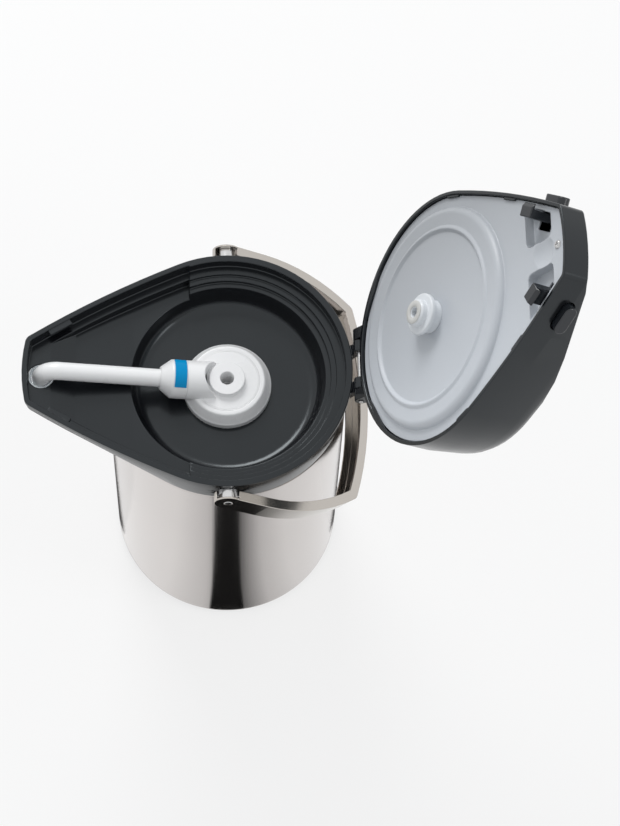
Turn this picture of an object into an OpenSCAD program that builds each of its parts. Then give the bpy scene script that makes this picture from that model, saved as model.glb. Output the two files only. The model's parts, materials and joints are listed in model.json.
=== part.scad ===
// Pump vacuum jug with its lid standing open. Millimetres, +Z up.
// The origin is on the body's axis at the floor. The spout points to -Y and the hinge is at +Y.
// The pieces of the lid are drawn on the closed lid, with z counted up from the rim, and then swung open.

/* [Steel body] */
// Outer diameter of the steel shell
body_d = 154; // [146:1:162]
// Wall of the steel shell
shell_t = 1; // [0.6:0.1:1.4]
// Height of the shell's top edge above the floor
shell_top = 229.5; // [190:0.5:270]
// Height of the shell's rolled bottom edge above the floor
shell_lift = 4; // [3.5:0.5:8]
// Radius of the shell's bottom edge
bottom_r = 2; // [1.5:0.5:3]
// Width of the flat lip inside the bottom edge
bottom_lip = 3; // [2:0.5:5]
// Wall of the closing disc and of the shoulder
disc_t = 0.8; // [0.5:0.1:1.2]
// How far the shoulder's edge lies below the shell's top edge
shoulder_low = 17.5; // [14:0.5:24]
// Width of the flat round the mouth
mouth_flat = 10; // [8:0.5:14]

/* [Foot] */
// Width of the plastic base ring
base_ring_w = 22; // [18:1:30]
// Width of the rubber foot ring
foot_ring_w = 10; // [6:1:12]
// Thickness of the rubber foot ring
foot_ring_t = 3; // [2.4:0.2:3.2]
// Gap between the base ring's underside and the floor
base_gap = 1.8; // [1:0.1:2]

/* [Liner] */
// Outer diameter of the inner liner
liner_d = 140; // [120:1:144]
// Wall of the inner liner
liner_t = 0.8; // [0.5:0.1:1]
// Height of the liner's underside above the floor
liner_lift = 14; // [11:0.5:24]
// Radius of the liner's bottom corner
liner_r = 12; // [6:1:24]
// Bore of the mouth
mouth_d = 51; // [46:0.5:54]
// Height of the straight neck
neck_h = 16; // [12:1:22]
// Height over which the liner draws in to the neck
draw_in_h = 18; // [12:1:30]
// Width of the liner's lip on the shoulder
lip_w = 7; // [5:0.5:8]

/* [Outline of collar and lid] */
// How far the rim stands out past the steel shell
rim_over = 3; // [2:0.5:5]
// How far the spout's corners reach past the rim's circle
spout_reach = 48; // [36:1:56]
// Half the width of the spout's tip
tip_half = 22.7; // [18:0.5:28]
// Radius of the long side curves
side_r = 637; // [400:1:1200]
// Bow of the spout's front edge
tip_bow = 2.5; // [1:0.5:5]
// Radius of the spout's two corners
tip_r = 6; // [4:0.5:8]

/* [Collar] */
// Height of the collar above the shell's top edge
collar_h = 26.5; // [24:0.5:34]
// Thickness of the rim flange
flange_t = 3.5; // [2.5:0.5:5]
// Width of the rim's top face round the well
rim_w = 4.2; // [4:0.1:5.5]
// Width of the rim's top face beside the trough
trough_rim_w = 3.3; // [2.8:0.1:3.5]
// Height of the collar's upright side wall under the flange
side_wall_h = 6.5; // [5:0.5:8]
// Wall of the collar
collar_t = 2.5; // [2:0.1:3]
// Depth of the round well below the rim
well_depth = 31; // [28:0.5:34]
// Thickness of the well's floor
floor_t = 3.2; // [2.6:0.2:4]
// Radius of the flat floor of the well
floor_r = 52.5; // [46:0.5:54]
// Radius between the well's floor and its wall
well_r = 8; // [5:0.5:9]
// Depth of the trough below the rim
trough_depth = 18; // [16:0.5:19]
// Depth of the spout's platform below the rim
platform_depth = 10; // [9:0.5:11]
// How far behind the axis' cross line the ledges of the well end
ledge_end = 24; // [10:1:34]
// Length of the spigot inside the steel shell
spigot_h = 10; // [6:0.5:12]
// Radial gap of the spigot in the shell
spigot_gap = 0.3; // [0.1:0.1:0.5]

/* [Outlet] */
// How far the outlet's axis lies behind the spout's corners
outlet_back = 9.3; // [8.5:0.1:12]
// Outer diameter of the outlet sleeve
sleeve_d = 16.4; // [15.6:0.1:17]
// Wall of the outlet sleeve
sleeve_t = 1.6; // [1:0.1:1.8]
// How far the sleeve's upper edge lies below the platform
sleeve_sunk = 0.8; // [0.4:0.1:1.2]
// Length of the sleeve
sleeve_h = 14; // [8:0.5:18]

/* [Hinge] */
// How far the hinge axis lies behind the rim
hinge_out = 4.4; // [4.2:0.1:6]
// How far the hinge axis lies above the rim
hinge_up = 3.8; // [3.4:0.1:5]
// Diameter of the hinge pin
pin_d = 3; // [2:0.1:3.6]
// Radial clearance of the pin
pin_gap = 0.05; // [0.02:0.01:0.1]
// Radius of the knuckles
knuckle_r = 4; // [3.4:0.1:4]
// Half the gap between the collar's two knuckles
knuckle_in = 9; // [6:0.5:12]
// Width of each knuckle
knuckle_w = 7.7; // [6:0.1:9]
// Gap between the collar's knuckle and the lid's
knuckle_gap = 0.3; // [0.2:0.1:0.6]
// Angle at which the open lid stands
lid_angle = 122; // [100:1:125]

/* [Lid shell] */
// Gap between the rim and the closed lid
lid_gap = 0.3; // [0.2:0.1:0.6]
// Height of the lid's top above the rim
lid_h = 50; // [46:0.5:56]
// Wall of the lid shell
lid_t = 2.5; // [2:0.1:3]
// Height of the lid's upright wall above the rim
upright_h = 17.5; // [16.5:0.1:18]
// How deep the cover sits in the lid shell
cover_deep = 2.5; // [2:0.1:3]
// Gap between the cover's edge and the shell
cover_gap = 0.3; // [0.2:0.1:0.5]
// Width of the ledge that the cover seats on
seat_w = 2; // [1.5:0.1:2.2]
// Length of the short snap tabs
tab_l = 12; // [8:1:16]
// Length of the two rear snap tabs
rear_tab_l = 34; // [20:1:36]

/* [Inner cover] */
// Wall of the inner cover
cover_t = 2; // [1.4:0.1:2.2]
// Radius of the cover's round boss
boss_r = 70; // [68:0.5:71]
// Radius of the ring bead on the cover
bead_r = 55.5; // [53:0.5:58]
// Radius of the boss's round edge
boss_round = 5; // [4.8:0.1:6]
// How far the boss's edge stands below the rim
boss_high = 2; // [1.6:0.1:2.4]
// Half the width of the bead
bead_w = 2.6; // [2:0.1:4]
// Height of the bead
bead_h = 1.5; // [1:0.1:2]
// Height of the pockets' floor in the cover
pocket_h = 9.5; // [8.6:0.1:10]
// Half the width of the ridge between the pockets
ridge_half = 8.5; // [7.5:0.5:9.5]
// Radius of the pockets' corners
pocket_corner = 4; // [3:0.5:5]
// Length of the pockets
pocket_l = 24; // [22:0.5:26]

/* [Pump] */
// How far the pump lies in front of the hinge side of the lid's middle
pump_y = 4; // [0:0.5:6]
// Radius of the push plate
push_r = 42; // [38:0.5:43]
// Gap between the push plate and its guide
push_gap = 0.6; // [0.3:0.1:0.8]
// Wall of the push plate and of its guide
push_t = 2.2; // [1.6:0.1:2.6]
// Depth of the push plate's skirt
push_skirt = 11; // [8:0.5:14]
// Height of the push plate's dome
push_dome = 3.2; // [1:0.2:5]
// How far the push plate's edge stands above the lid
push_proud = 0.8; // [0:0.1:2]
// Outer radius of the bellows
bellows_r = 39; // [34:0.5:39.3]
// Depth of a bellows pleat
pleat_d = 5; // [3:0.5:8]
// Number of bellows pleats
pleats = 8; // [5:1:10]
// Wall of the bellows
bellows_t = 1; // [0.6:0.1:1.2]
// Mean radius of the pump spring
spring_r = 14; // [12.5:0.5:20]
// Wire diameter of the pump spring
spring_wire = 2; // [1.2:0.1:2.2]
// Number of turns of the pump spring
spring_turns = 7; // [4:1:8]

/* [Air nozzle] */
// Radius of the nozzle's flange
nozzle_r = 13; // [12:0.5:13.5]
// Radius of the nozzle's front
nozzle_front_r = 8.5; // [7:0.5:10]
// Bore of the air passage
air_d = 6; // [4:0.5:7]
// How far the seal's face reaches below the rim
nozzle_reach = 14.7; // [14.4:0.1:14.8]

/* [Latches] */
// How far the latches lie behind the spout's corners
latch_back = 23; // [21:0.5:26]
// Travel of a latch
latch_travel = 4; // [3.4:0.1:4.4]
// Length of a button along the lid's side
button_l = 19; // [14:0.5:20]
// Height of a button
button_h = 8; // [7:0.5:8.5]
// How far a button stands out
button_out = 4.8; // [4.6:0.1:6]
// Height of a button's lower edge above the rim
button_z = 12.4; // [12:0.1:13]
// How far the hooks lie in front of the buttons' middle
hook_shift = 4.5; // [0:0.5:5]
// Length of a hook along the lid's side
hook_l = 11; // [8:0.5:12]
// Length of a catch along the collar's side
catch_l = 16; // [13:0.5:18]
// Thickness of a catch
catch_t = 3; // [2:0.1:3.4]
// Depth of a catch's underside below the rim
catch_deep = 4; // [3.6:0.1:4.6]

/* [Stopper] */
// Radius of the stopper's foot
stopper_r = 28.5; // [27:0.5:32]
// Height of the stopper's foot
stopper_foot_h = 6; // [4:0.5:7]
// Radius of the stopper's shoulder
stopper_top_r = 23.7; // [20:0.1:25]
// Height of the stopper's shoulder above the well's floor
stopper_h = 12; // [10:0.5:13]
// Radius of the stopper's air boss
air_boss_r = 11.5; // [11:0.5:13]
// Radius of the stopper's plug
plug_r = 24; // [22:0.1:24.6]
// Length of the plug below the well's floor
plug_h = 20; // [16:1:24]
// Radius of the plug's gasket
gasket_r = 25.2; // [24.8:0.1:25.3]
// Outer diameter of the straw
straw_d = 10; // [8:0.5:11]
// Wall of the straw
straw_t = 1; // [0.6:0.1:1.2]
// How far the straw stands off the axis
straw_y = 13.5; // [12.5:0.5:15]
// Gap between the straw and the liner's floor
straw_gap = 3.5; // [2:0.5:8]

/* [Dispensing pipe] */
// Rise of the pipe toward the spout in degrees
pipe_rise = 10.9; // [10.7:0.1:11.1]
// Height of the pipe's line above the well's floor, on the jug's axis
pipe_up = 8.4; // [8.3:0.1:8.6]
// Outer diameter of the pipe
pipe_d = 11.5; // [10:0.1:12]
// Wall of the pipe
pipe_t = 1.5; // [1:0.1:1.8]
// Bend radius of the pipe's axis
pipe_bend = 10; // [9:0.5:12]
// Length of the pipe's outlet below the bend's centre
pipe_drop = 13; // [8:0.5:16]
// Radius of the neck and the union nut
nut_r = 12.5; // [11:0.1:12.6]
// Distance along the pipe's line at which the neck ends
neck_end = 27.5; // [26:0.5:30]
// Length of the nut's straight part
nut_l = 9.5; // [9:0.5:11]
// Length of the nut's cone
cone_l = 7; // [5:0.5:9]
// Length of the coloured clip on the nut
clip_l = 7.6; // [5:0.1:8]
// Thickness of the clip
clip_t = 0.8; // [0.5:0.1:1]
// Half the angle that the clip covers
clip_half = 47; // [30:1:60]

/* [Bail] */
// Height of the bail's pivots below the rim
pivot_deep = 9.5; // [8.5:0.5:10.5]
// How far the bail's arms stand out past the collar's rim
bail_out = 8; // [7.5:0.5:12]
// Sheet thickness of the bail
bail_t = 1.3; // [0.8:0.1:1.6]
// Width of the bail's outer face
bail_w = 17; // [14:0.5:18]
// Depth of the bail's side flanges
bail_flange = 6.4; // [4:0.2:6.6]
// Length of the arms' straight part
arm_straight = 25; // [15:1:40]
// Radius of the arms' curve
arm_r = 129; // [110:1:180]
// How far the bail's corners reach past the collar's rim
arm_reach = 15; // [12:0.5:20]
// Bow of the bail's crossbar
bar_bow = 11; // [8:0.5:14]
// Radius of the bail's corners
bail_corner = 5; // [3:0.5:10]
// Radius of the round arm ends
arm_end_r = 9; // [8.5:0.1:9.5]
// Angle at which the bail hangs below the horizontal
bail_drop = 34.2; // [20:0.1:34.2]
// Radius of the pivot studs
stud_r = 5.9; // [5:0.1:6.4]
// Radius of the studs' ends in the bail
stud_end_r = 2.5; // [2:0.1:3]
// Width of the slot in the arm ends
slot_w = 14; // [13:0.2:15]

/* [Hidden] */
$fn = 96;
// Overlap of two solids that become one piece, and overshoot of a cut
bit = 0.2;
over = 1;
hull_fn = 96;

body_r = body_d / 2;
rim_z = shell_top + collar_h;
well_floor = rim_z - well_depth;
mouth_z = well_floor - floor_t;
mouth_r = mouth_d / 2;
plan_r = body_r + rim_over;
tip_y = plan_r + spout_reach;
hinge_y = plan_r + hinge_out;
hinge_z = rim_z + hinge_up;

// Points of an arc
function arc(c, r, a0, a1, n) =
    [for (i = [0:n]) let (a = a0 + (a1 - a0) * i / n) c + r * [cos(a), sin(a)]];
// Where two circles meet on the left of the line from c1 to c2
function meet(c1, r1, c2, r2) =
    let (v = c2 - c1, d = norm(v), x = (d * d + r1 * r1 - r2 * r2) / (2 * d),
         y = sqrt(r1 * r1 - x * x), u = v / d)
    c1 + x * u + y * [-u[1], u[0]];
function polar(v) = atan2(v[1], v[0]);
// Points mirrored and in reverse order, without those on the middle line
function flipped(p) = [for (i = [len(p) - 1:-1:0]) if (abs(p[i][0]) > bit) [-p[i][0], p[i][1]]];
// All points but the first
function after(p) = [for (i = [1:len(p) - 1]) p[i]];
function lifted(p, dz) = [for (q = p) q + [0, dz]];

// The outline that the collar and the lid share: a circle round the body, two long side curves and a bowed tip
tip_corner = [tip_half, -tip_y];
tip_dot = (2 * side_r * plan_r - plan_r * plan_r - tip_corner * tip_corner) / (2 * (side_r - plan_r));
side_angle = polar(tip_corner) + acos(tip_dot / norm(tip_corner));
side_c = -(side_r - plan_r) * [cos(side_angle), sin(side_angle)];
bow_r = (tip_half * tip_half + tip_bow * tip_bow) / (2 * tip_bow);
bow_c = [0, bow_r - tip_y - tip_bow];
// Points of two arcs that turn counterclockwise and the rounded corner between them
function two_arcs(c1, r1, a1, n1, c2, r2, a2, n2, corner_r) =
    let (c = meet(c1, r1 - corner_r, c2, r2 - corner_r), e1 = polar(c - c1), e2 = polar(c - c2))
    concat(arc(c1, r1, a1, e1, n1), after(arc(c, corner_r, e1, e2, 5)), after(arc(c2, r2, e2, a2, n2)));
// Points of the outline's half, drawn in by a distance
function half_plan(in) = concat(
    two_arcs(bow_c, bow_r - in, -90, 3, side_c, side_r - in, side_angle, 8, max(tip_r - in, 0.5)),
    after(arc([0, 0], plan_r - in, side_angle, 90, 24)));
module plan(in) {
    half = half_plan(in);
    polygon(concat(half, flipped(half)));
}
module plan_slab(in, z, h) {
    translate([0, 0, z]) linear_extrude(h) plan(in);
}
// The same outline without what lies in front of a line across it
module cut_plan_slab(in, front, z, h) {
    intersection() {
        plan_slab(in, z, h);
        translate([-plan_r, -front, z - over]) cube([2 * plan_r, front + plan_r, h + 2 * over]);
    }
}

// Steel body and feet

lip_top = shell_lift + shell_t;
flat_r = body_r - bottom_r;
module outer_shell() {
    color("silver") rotate_extrude() polygon(concat(
        [[flat_r - bottom_lip, shell_lift]],
        arc([flat_r, shell_lift + bottom_r], bottom_r, -90, 0, 6),
        [[body_r, shell_top], [body_r - shell_t, shell_top]],
        arc([flat_r, shell_lift + bottom_r], bottom_r - shell_t, 0, -90, 6),
        [[flat_r - bottom_lip, lip_top]]));
}
dish_h = 3;
dish_w = 6;
module shell_bottom() {
    rim = flat_r - bit;
    low = [[0, lip_top + dish_h], [rim - 3 * dish_w, lip_top + dish_h], [rim - 2 * dish_w, lip_top], [rim, lip_top]];
    high = lifted(low, disc_t);
    color("silver") rotate_extrude() polygon(concat(low, [for (i = [3:-1:0]) high[i]]));
}
base_r = flat_r - 0.5;
ring_groove_r = base_r - (base_ring_w - foot_ring_w) / 2 + 3;
module base_ring() {
    inner = base_r - base_ring_w;
    spigot_r = flat_r - bottom_lip - spigot_gap;
    color([0.13, 0.13, 0.14]) rotate_extrude() difference() {
        union() {
            translate([inner, base_gap]) square([base_ring_w, shell_lift - base_gap]);
            translate([spigot_r - 3, base_gap]) square([3, lip_top - base_gap]);
        }
        translate([ring_groove_r - foot_ring_w, base_gap - over]) square([foot_ring_w, foot_ring_t - base_gap + over]);
    }
}
module foot_ring() {
    color([0.1, 0.1, 0.1]) rotate_extrude()
        translate([ring_groove_r - foot_ring_w, 0]) square([foot_ring_w, foot_ring_t]);
}
shoulder_z = shell_top - shoulder_low;
shoulder_r = body_r - shell_t;
shoulder_edge_h = 8;
neck_gap = 0.1;
module shoulder() {
    flat_z = mouth_z - liner_t;
    neck_r = mouth_r + liner_t + neck_gap;
    outline = [
        [shoulder_r, shoulder_z - shoulder_edge_h], [shoulder_r, shoulder_z], [neck_r + mouth_flat, flat_z], [neck_r, flat_z],
        [neck_r, flat_z - disc_t], [neck_r + mouth_flat, flat_z - disc_t],
        [shoulder_r - disc_t, shoulder_z - disc_t],
        [shoulder_r - disc_t, shoulder_z - shoulder_edge_h]];
    color("silver") rotate_extrude() polygon(outline);
}

// The liner's outer line from its floor to its lip, drawn in by a distance
function liner_line(in) =
    let (r = liner_d / 2 - in, neck_r = mouth_r + liner_t - in, low = liner_lift + in,
         neck_z = mouth_z - liner_t - neck_h)
    concat(
        [[0, low]],
        arc([r + in - liner_r, liner_lift + liner_r], liner_r - in, -90, 0, 8),
        [[r, neck_z - draw_in_h - 10]],
        arc([r + in - 10, neck_z - draw_in_h - 10], 10 - in, 0, 60, 5),
        [[neck_r, neck_z]]);
module inner_liner() {
    inner = liner_line(liner_t);
    lip_z = mouth_z - liner_t;
    neck_r = mouth_r + liner_t;
    color([0.78, 0.78, 0.76]) rotate_extrude() polygon(concat(
        liner_line(0),
        [[neck_r, lip_z], [neck_r + lip_w, lip_z], [neck_r + lip_w, mouth_z], [mouth_r, mouth_z]],
        [for (i = [len(inner) - 1:-1:0]) inner[i]]));
}
gasket_w = 4;
gasket_h = 1.6;
gasket_in = mouth_r + liner_t + 1.2;
module mouth_gasket() {
    color([0.85, 0.85, 0.83]) rotate_extrude()
        translate([gasket_in, mouth_z]) square([gasket_w, gasket_h]);
}

// Collar

rim_in = plan_r - rim_w;
// Depths of the well's ledges below the rim, and how far each reaches in from the rim's inner edge
ledge_deep = [7.5, 10, 13];
ledge_in = [5.8, 9.3, 12.6];
well_wall_r = floor_r + well_r;
// The well's hollow, whose highest step follows the rim's outline
module well_hollow() {
    rotate_extrude() polygon(concat(
        [[0, well_floor]],
        arc([floor_r, well_floor + well_r], well_r, -90, 0, 8),
        [[rim_in - ledge_in[2], rim_z - ledge_deep[2]], [rim_in - ledge_in[1], rim_z - ledge_deep[2]],
         [rim_in - ledge_in[1], rim_z - ledge_deep[1]], [rim_in - ledge_in[0], rim_z - ledge_deep[1]],
         [rim_in - ledge_in[0], rim_z + over], [0, rim_z + over]]));
    cut_plan_slab(rim_w, ledge_end + over, rim_z - ledge_deep[0], ledge_deep[0] + over);
}
// What stays solid round the well
module well_body() {
    rotate_extrude() polygon(concat(
        [[0, mouth_z]],
        arc([floor_r, well_floor + well_r], well_r + floor_t, -90, 0, 8),
        [[rim_in - ledge_in[2] + collar_t, rim_z - ledge_deep[2] - collar_t],
         [rim_in - ledge_in[1] + collar_t, rim_z - ledge_deep[2] - collar_t],
         [rim_in - ledge_in[1] + collar_t, rim_z - ledge_deep[1] - collar_t],
         [rim_in - ledge_in[0] + collar_t, rim_z - ledge_deep[1] - collar_t],
         [rim_in - ledge_in[0] + collar_t, rim_z - ledge_deep[0] - collar_t],
         [rim_in + collar_t, rim_z - ledge_deep[0] - collar_t],
         [rim_in + collar_t, rim_z], [0, rim_z]]));
}
outlet_y = tip_y - outlet_back;
platform_y = outlet_y - 6.2;
slope_y = platform_y - 15.5;
slope_drop = 2;
// Side view of the trough down to its floor, lowered and lengthened to the back by a distance
module trough_side(low) {
    floor_z = rim_z - trough_depth - low;
    rotate([90, 0, 90]) linear_extrude(2 * plan_r, center = true) polygon([
        [low - ledge_end, floor_z], [-plan_r * 0.75, floor_z], [-slope_y, floor_z + slope_drop],
        [-platform_y, rim_z - platform_depth - low], [-tip_y - tip_bow, rim_z - platform_depth - low],
        [-tip_y - tip_bow, rim_z + over], [low - ledge_end, rim_z + over]]);
}
trough_step = 5.2;
trough_in = trough_rim_w + trough_step;
module trough_hollow() {
    cut_z = rim_z - platform_depth;
    intersection() {
        trough_side(0);
        union() {
            plan_slab(trough_in, well_floor, well_depth);
            plan_slab(trough_rim_w, cut_z, platform_depth + over);
        }
    }
}
skirt_in = 1;
module trough_body() {
    cut_z = rim_z - platform_depth - collar_t;
    intersection() {
        trough_side(collar_t);
        union() {
            plan_slab(trough_in - collar_t, well_floor, well_depth);
            plan_slab(skirt_in + collar_t, cut_z, platform_depth + collar_t);
        }
    }
}
skirt_gap = 0.3;
skirt_r = body_r + skirt_gap;
skirt_top = rim_z - flange_t - side_wall_h;
module skirt_form(in, up) {
    hull() {
        plan_slab(skirt_in + in, skirt_top + up, side_wall_h - up);
        translate([0, 0, shell_top + up]) cylinder(r = skirt_r - in, h = 0.01, $fn = hull_fn);
    }
}
spigot_r = body_r - shell_t - spigot_gap;
module collar_hollow() {
    difference() {
        union() {
            skirt_form(collar_t, collar_t);
            translate([0, 0, shell_top - over]) cylinder(r = spigot_r - collar_t, h = collar_t + over + bit);
        }
        well_body();
        trough_body();
    }
}
pivot_z = rim_z - pivot_deep;
sleeve_flare = 0.9;
stud_neck_r = 3;
stud_wall = 2.5;
stud_seat_w = rim_w - 0.5;
module on_pivot(side) {
    mirror([side < 0 ? 1 : 0, 0, 0]) translate([0, 0, pivot_z]) rotate([0, 90, 0]) children();
}
// A frame on the outline's side curve, a distance behind the spout's corners:
// x points out of the side and y along it toward the hinge
module at_side(side, back) {
    a = asin((-tip_y + back - side_c[1]) / side_r);
    p = side_c + side_r * [cos(a), sin(a)];
    mirror([side < 0 ? 1 : 0, 0, 0]) translate([p[0], p[1], 0]) rotate([0, 0, a]) children();
}
module at_latch(side) {
    at_side(side, latch_back) children();
}
module at_hook(side) {
    at_latch(side) translate([0, -hook_shift, 0]) children();
}
// The lid's pockets lie inside its seat, the hooks inside the pockets, and the catches reach out to the hooks
seat_w_in = lid_t + seat_w;
pocket_wall = 1.6;
pocket_in = seat_w_in + cover_gap + pocket_wall;
slot_gap = 0.8;
hook_in = pocket_in + slot_gap;
catch_gap = 0.5;
catch_w = hook_in - catch_gap - trough_rim_w;
module knuckle_root() {
    translate([0, hinge_y - knuckle_r + 0.3, rim_z - flange_t - 2]) cube([knuckle_w, 1, flange_t + 2]);
}
module collar_knuckle() {
    hull() {
        translate([0, hinge_y, hinge_z]) rotate([0, 90, 0]) cylinder(r = knuckle_r, h = knuckle_w, $fn = 32);
        knuckle_root();
    }
    hull() {
        knuckle_root();
        translate([0, plan_r - rim_w, rim_z - 12]) cube([knuckle_w, rim_w - skirt_in - 1.5, 8]);
    }
}
module collar() {
    color([0.22, 0.225, 0.24]) difference() {
        union() {
            difference() {
                union() {
                    skirt_form(0, 0);
                    plan_slab(0, rim_z - flange_t, flange_t);
                    well_body();
                }
                collar_hollow();
                well_hollow();
                trough_hollow();
            }
            difference() {
                translate([0, 0, shell_top - spigot_h]) cylinder(r = spigot_r, h = spigot_h + collar_t + 2);
                translate([0, 0, shell_top - spigot_h - over])
                    cylinder(r = spigot_r - collar_t, h = spigot_h + collar_t + 2 + 2 * over);
            }
            for (side = [-1, 1]) {
                at_hook(side) translate([-trough_rim_w - catch_w, -catch_l / 2, rim_z - catch_deep])
                    cube([catch_w + bit, catch_l, catch_t]);
                on_pivot(side) translate([0, 0, plan_r - stud_seat_w])
                    cylinder(r = stud_neck_r + stud_wall, h = stud_seat_w - skirt_in - 0.5);
            }
            translate([knuckle_in, 0, 0]) collar_knuckle();
            translate([-knuckle_in - knuckle_w, 0, 0]) collar_knuckle();
        }
        translate([0, 0, mouth_z - over]) cylinder(r = mouth_r, h = floor_t + 2 * over);
        translate([0, 0, mouth_z - over]) difference() {
            cylinder(r = gasket_in + gasket_w, h = gasket_h + over);
            cylinder(r = gasket_in, h = gasket_h + over);
        }
        translate([0, -outlet_y, shell_top]) cylinder(d = sleeve_d + 2 * pin_gap, h = collar_h + over);
        for (side = [-1, 1]) on_pivot(side) translate([0, 0, plan_r - stud_seat_w])
            cylinder(r = stud_neck_r + pin_gap, h = stud_seat_w + over);
        translate([0, hinge_y, hinge_z]) rotate([0, 90, 0])
            cylinder(d = pin_d + 2 * pin_gap, h = 2 * plan_r, center = true);
    }
}
module outlet_sleeve() {
    r = sleeve_d / 2;
    color([0.85, 0.9, 0.92, 0.6]) translate([0, -outlet_y, rim_z - platform_depth - sleeve_sunk]) rotate_extrude()
        polygon([
            [r - sleeve_t, -sleeve_h], [r, -sleeve_h], [r, 0], [r - sleeve_t + sleeve_flare, 0],
            [r - sleeve_t, -sleeve_flare]]);
}

// Hinge pin

knuckle_out = knuckle_in + 2 * knuckle_w + knuckle_gap;
module hinge_pin() {
    color("silver") translate([0, hinge_y, hinge_z]) rotate([0, 90, 0])
        cylinder(d = pin_d, h = 2 * knuckle_out + 1.6, center = true);
}

// Bail and its pivot studs

stud_in = plan_r - 0.4;
bail_half = plan_r + bail_out;
arm_l = plan_r + arm_reach;
web_in = bail_half - bail_t;
module bail_studs() {
    color([0.85, 0.85, 0.84]) for (side = [-1, 1]) on_pivot(side) {
        translate([0, 0, plan_r - stud_seat_w]) cylinder(r = stud_neck_r, h = stud_seat_w);
        translate([0, 0, stud_in]) cylinder(r = stud_r, h = web_in - pin_gap - stud_in);
        translate([0, 0, stud_in]) cylinder(r = stud_end_r, h = bail_half - stud_in + 0.2);
    }
}
arm_c = [bail_half - arm_r, arm_straight];
arm_end = asin((arm_l - arm_straight) / arm_r);
bail_tip = arm_c + arm_r * [cos(arm_end), sin(arm_end)];
bar_r = (bail_tip[0] * bail_tip[0] + bar_bow * bar_bow) / (2 * bar_bow);
bar_c = [0, bail_tip[1] + bar_bow - bar_r];
// Half the outline of the bail in its own plane, drawn in by a distance
function half_bail(in, start) = concat(
    [[bail_half - in, start]],
    two_arcs(arm_c, arm_r - in, 0, 8, bar_c, bar_r - in, 90, 6, max(bail_corner - in, 0.5)));
module bail_area(in, start) {
    half = half_bail(in, start);
    polygon(concat(half, flipped(half)));
}
module bail_band(in, w) {
    linear_extrude(w) difference() {
        bail_area(0, 0);
        bail_area(in, -10);
    }
}
module bail() {
    sheet = 1.2;
    color([0.6, 0.6, 0.6]) translate([0, 0, pivot_z]) rotate([-bail_drop, 0, 0]) difference() {
        union() {
            translate([0, 0, -bail_w / 2]) bail_band(bail_t, bail_w);
            translate([0, 0, -bail_w / 2]) bail_band(bail_flange, sheet);
            translate([0, 0, bail_w / 2 - sheet]) bail_band(bail_flange, sheet);
            for (side = [-1, 1]) mirror([side < 0 ? 1 : 0, 0, 0]) rotate([0, 90, 0]) {
                translate([0, 0, web_in]) cylinder(r = arm_end_r, h = bail_t);
                difference() {
                    translate([0, 0, bail_half - bail_flange]) cylinder(r = arm_end_r, h = bail_flange);
                    translate([0, 0, bail_half - bail_flange - over])
                        cylinder(r = arm_end_r - sheet, h = bail_flange + 2 * over);
                    translate([-arm_end_r - over, 0, 0]) cube([2 * (arm_end_r + over), arm_end_r + over, bail_half + over]);
                }
            }
        }
        for (side = [-1, 1]) mirror([side < 0 ? 1 : 0, 0, 0]) {
            rotate([0, 90, 0]) translate([0, 0, web_in - over])
                cylinder(r = stud_end_r + pin_gap, h = bail_t + 2 * over);
            rotate([bail_drop, 0, 0]) translate([bail_half - bail_flange - over, -slot_w / 2, 0])
                cube([bail_flange - bail_t + over, slot_w, 2 * arm_end_r]);
        }
    }
}

// Stopper, drawn with the jug's axis as its own

boss_z = rim_z - nozzle_reach - lid_gap;
air_hole_r = 4.4;
module along_pipe() {
    translate([0, 0, well_floor + pipe_up]) rotate([90 - pipe_rise, 0, 0]) children();
}
neck_bore_r = pipe_d / 2 - pipe_t;
spigot_l = 7;
nut_gap = 0.3;
groove_r = stopper_top_r - 3;
groove_w = 0.5;
neck_spigot_r = nut_r - 3;
module stopper_cap() {
    color([0.9, 0.9, 0.89]) difference() {
        union() {
            difference() {
                translate([0, 0, well_floor]) rotate_extrude() polygon([
                    [0, 0], [stopper_r, 0], [stopper_r, stopper_foot_h - 1], [stopper_r - 1, stopper_foot_h],
                    [stopper_top_r + 1, stopper_h - 1], [stopper_top_r, stopper_h],
                    [groove_r + groove_w, stopper_h], [groove_r, stopper_h - groove_w], [groove_r - groove_w, stopper_h],
                    [0, stopper_h]]);
                along_pipe() translate([0, 0, neck_end]) cylinder(r = nut_r + nut_gap, h = nut_l);
            }
            difference() {
                along_pipe() union() {
                    cylinder(r = nut_r, h = neck_end);
                    cylinder(r = neck_spigot_r, h = neck_end + spigot_l);
                }
                translate([0, 0, well_floor - nut_r]) cylinder(r = stopper_r, h = nut_r);
                translate([0, 0, well_floor + stopper_h]) cylinder(r = nozzle_r + 1, h = 2 * nut_r);
            }
            translate([0, 0, well_floor]) cylinder(r = air_boss_r, h = boss_z - well_floor);
        }
        translate([0, 0, well_floor - over]) cylinder(r = air_hole_r, h = well_depth);
        along_pipe() translate([0, 0, straw_y]) cylinder(r = neck_bore_r, h = neck_end + spigot_l);
        translate([0, -straw_y, well_floor - over]) cylinder(r = straw_d / 2 - straw_t, h = pipe_up + 3 + over);
    }
}
ring_z = well_floor - 12;
ring_h = 4;
ring_deep = 3;
module stopper_plug() {
    straw_in = 8;
    color([0.9, 0.9, 0.89]) difference() {
        translate([0, 0, well_floor - plug_h]) cylinder(r = plug_r, h = plug_h);
        translate([0, 0, ring_z]) difference() {
            cylinder(r = plug_r + over, h = ring_h);
            cylinder(r = plug_r - ring_deep, h = ring_h);
        }
        translate([0, 0, well_floor - plug_h - over]) cylinder(r = air_hole_r - 1, h = plug_h + 2 * over);
        translate([0, -straw_y, well_floor - plug_h - over]) {
            cylinder(r = straw_d / 2 - straw_t, h = plug_h + 2 * over);
            cylinder(r = straw_d / 2 + pin_gap, h = straw_in + over);
        }
    }
}
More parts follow.
